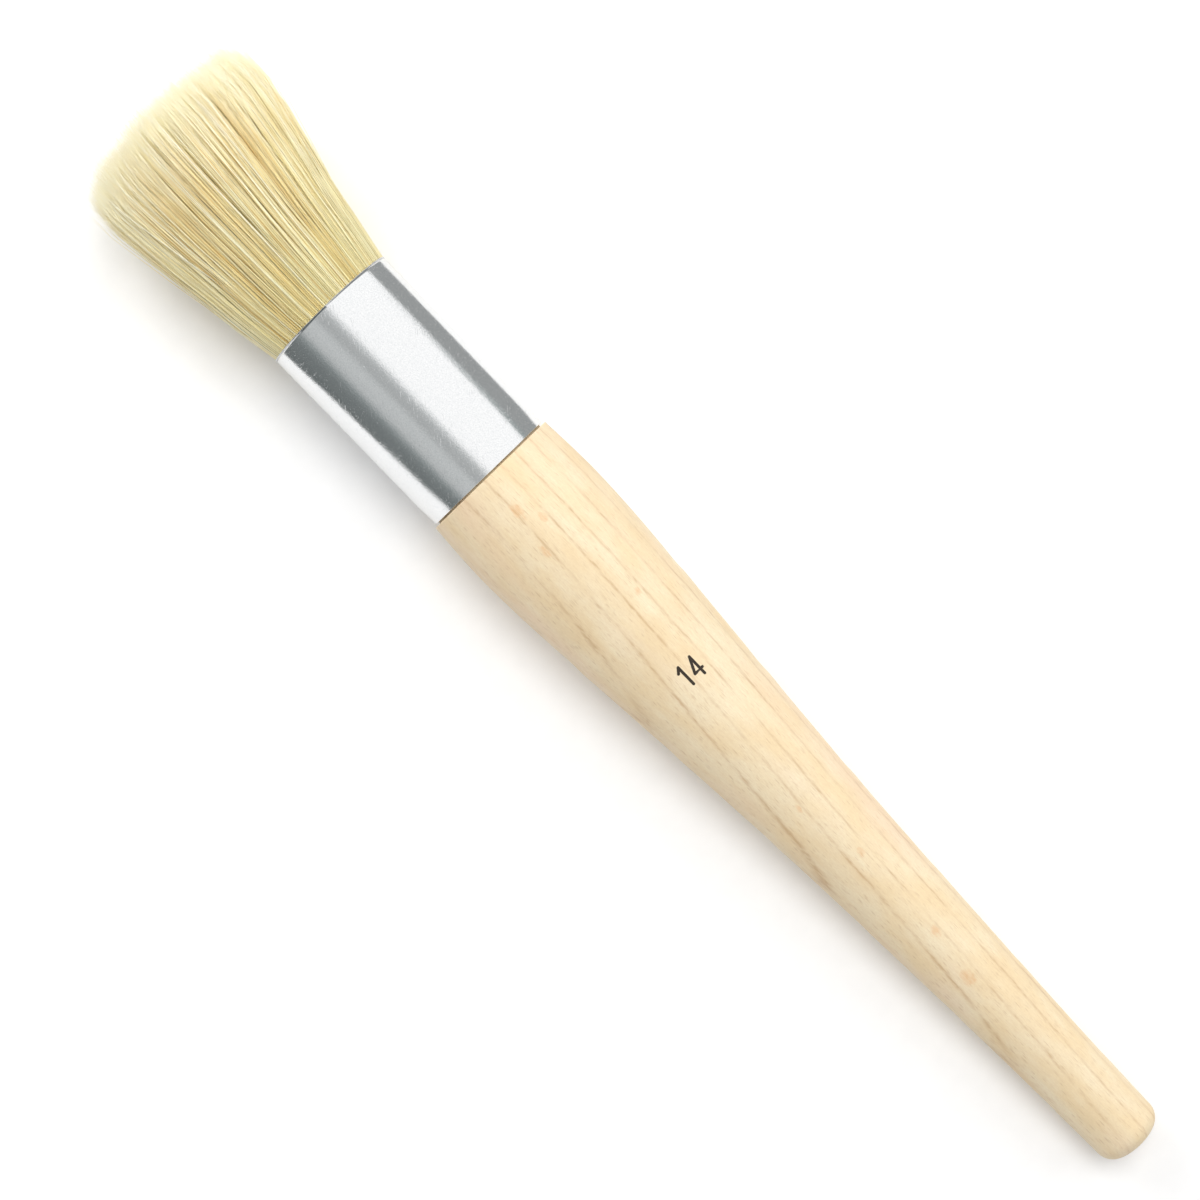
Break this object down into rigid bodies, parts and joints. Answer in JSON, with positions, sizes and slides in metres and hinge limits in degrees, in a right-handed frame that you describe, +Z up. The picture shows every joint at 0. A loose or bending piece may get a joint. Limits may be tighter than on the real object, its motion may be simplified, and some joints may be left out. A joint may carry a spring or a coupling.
{
  "type": "round stencil brush",
  "caption": "Round stencil brush: a flared tuft of stiff bristle in a plain aluminium tube ferrule, on a turned, bellied wooden handle that tapers to a rounded butt.",
  "frame": {"origin": "middle of the brush's footprint, on the surface that it lies on", "axes": "+X from the bristle tips to the handle's butt, +Z up, with the brush lying on its side: its own axis runs along +X and drops 3 degrees towards the butt"},
  "size_m": [0.2006, 0.0306, 0.0304],
  "materials": {
    "handle_wood": "satin",
    "ferrule_metal": "polished",
    "setting_resin": "gloss",
    "bristle": "satin"
  },
  "bodies": {
    "handle_and_ferrule": {"handle": "handle_wood", "ferrule": "ferrule_metal", "resin_setting": "setting_resin"},
    "tuft": {"bristle_lock_core": "bristle", "bristle_lock_inner_01": "bristle", "bristle_lock_inner_02": "bristle", "bristle_lock_inner_03": "bristle", "bristle_lock_inner_04": "bristle", "bristle_lock_inner_05": "bristle", "bristle_lock_inner_06": "bristle", "bristle_lock_middle_01": "bristle", "bristle_lock_middle_02": "bristle", "bristle_lock_middle_03": "bristle", "bristle_lock_middle_04": "bristle", "bristle_lock_middle_05": "bristle", "bristle_lock_middle_06": "bristle", "bristle_lock_middle_07": "bristle", "bristle_lock_middle_08": "bristle", "bristle_lock_middle_09": "bristle", "bristle_lock_middle_10": "bristle", "bristle_lock_middle_11": "bristle", "bristle_lock_middle_12": "bristle", "bristle_lock_outer_01": "bristle", "bristle_lock_outer_02": "bristle", "bristle_lock_outer_03": "bristle", "bristle_lock_outer_04": "bristle", "bristle_lock_outer_05": "bristle", "bristle_lock_outer_06": "bristle", "bristle_lock_outer_07": "bristle", "bristle_lock_outer_08": "bristle", "bristle_lock_outer_09": "bristle", "bristle_lock_outer_10": "bristle", "bristle_lock_outer_11": "bristle", "bristle_lock_outer_12": "bristle", "bristle_lock_outer_13": "bristle", "bristle_lock_outer_14": "bristle", "bristle_lock_outer_15": "bristle", "bristle_lock_outer_16": "bristle", "bristle_lock_outer_17": "bristle", "bristle_lock_outer_18": "bristle"}
  },
  "joints": [
    {"name": "bristle_bend", "type": "hinge", "parent": "handle_and_ferrule", "child": "tuft", "pos_m": [-0.0642, 0, 0.01359], "axis": [0, 0, 1], "range_deg": [-20, 20], "stiffness_Nm_per_rad": 0.6, "deforming": ["bristle_lock_core", "bristle_lock_inner_01", "bristle_lock_inner_02", "bristle_lock_inner_03", "bristle_lock_inner_04", "bristle_lock_inner_05", "bristle_lock_inner_06", "bristle_lock_middle_01", "bristle_lock_middle_02", "bristle_lock_middle_03", "bristle_lock_middle_04", "bristle_lock_middle_05", "bristle_lock_middle_06", "bristle_lock_middle_07", "bristle_lock_middle_08", "bristle_lock_middle_09", "bristle_lock_middle_10", "bristle_lock_middle_11", "bristle_lock_middle_12", "bristle_lock_outer_01", "bristle_lock_outer_02", "bristle_lock_outer_03", "bristle_lock_outer_04", "bristle_lock_outer_05", "bristle_lock_outer_06", "bristle_lock_outer_07", "bristle_lock_outer_08", "bristle_lock_outer_09", "bristle_lock_outer_10", "bristle_lock_outer_11", "bristle_lock_outer_12", "bristle_lock_outer_13", "bristle_lock_outer_14", "bristle_lock_outer_15", "bristle_lock_outer_16", "bristle_lock_outer_17", "bristle_lock_outer_18"]}
  ]
}
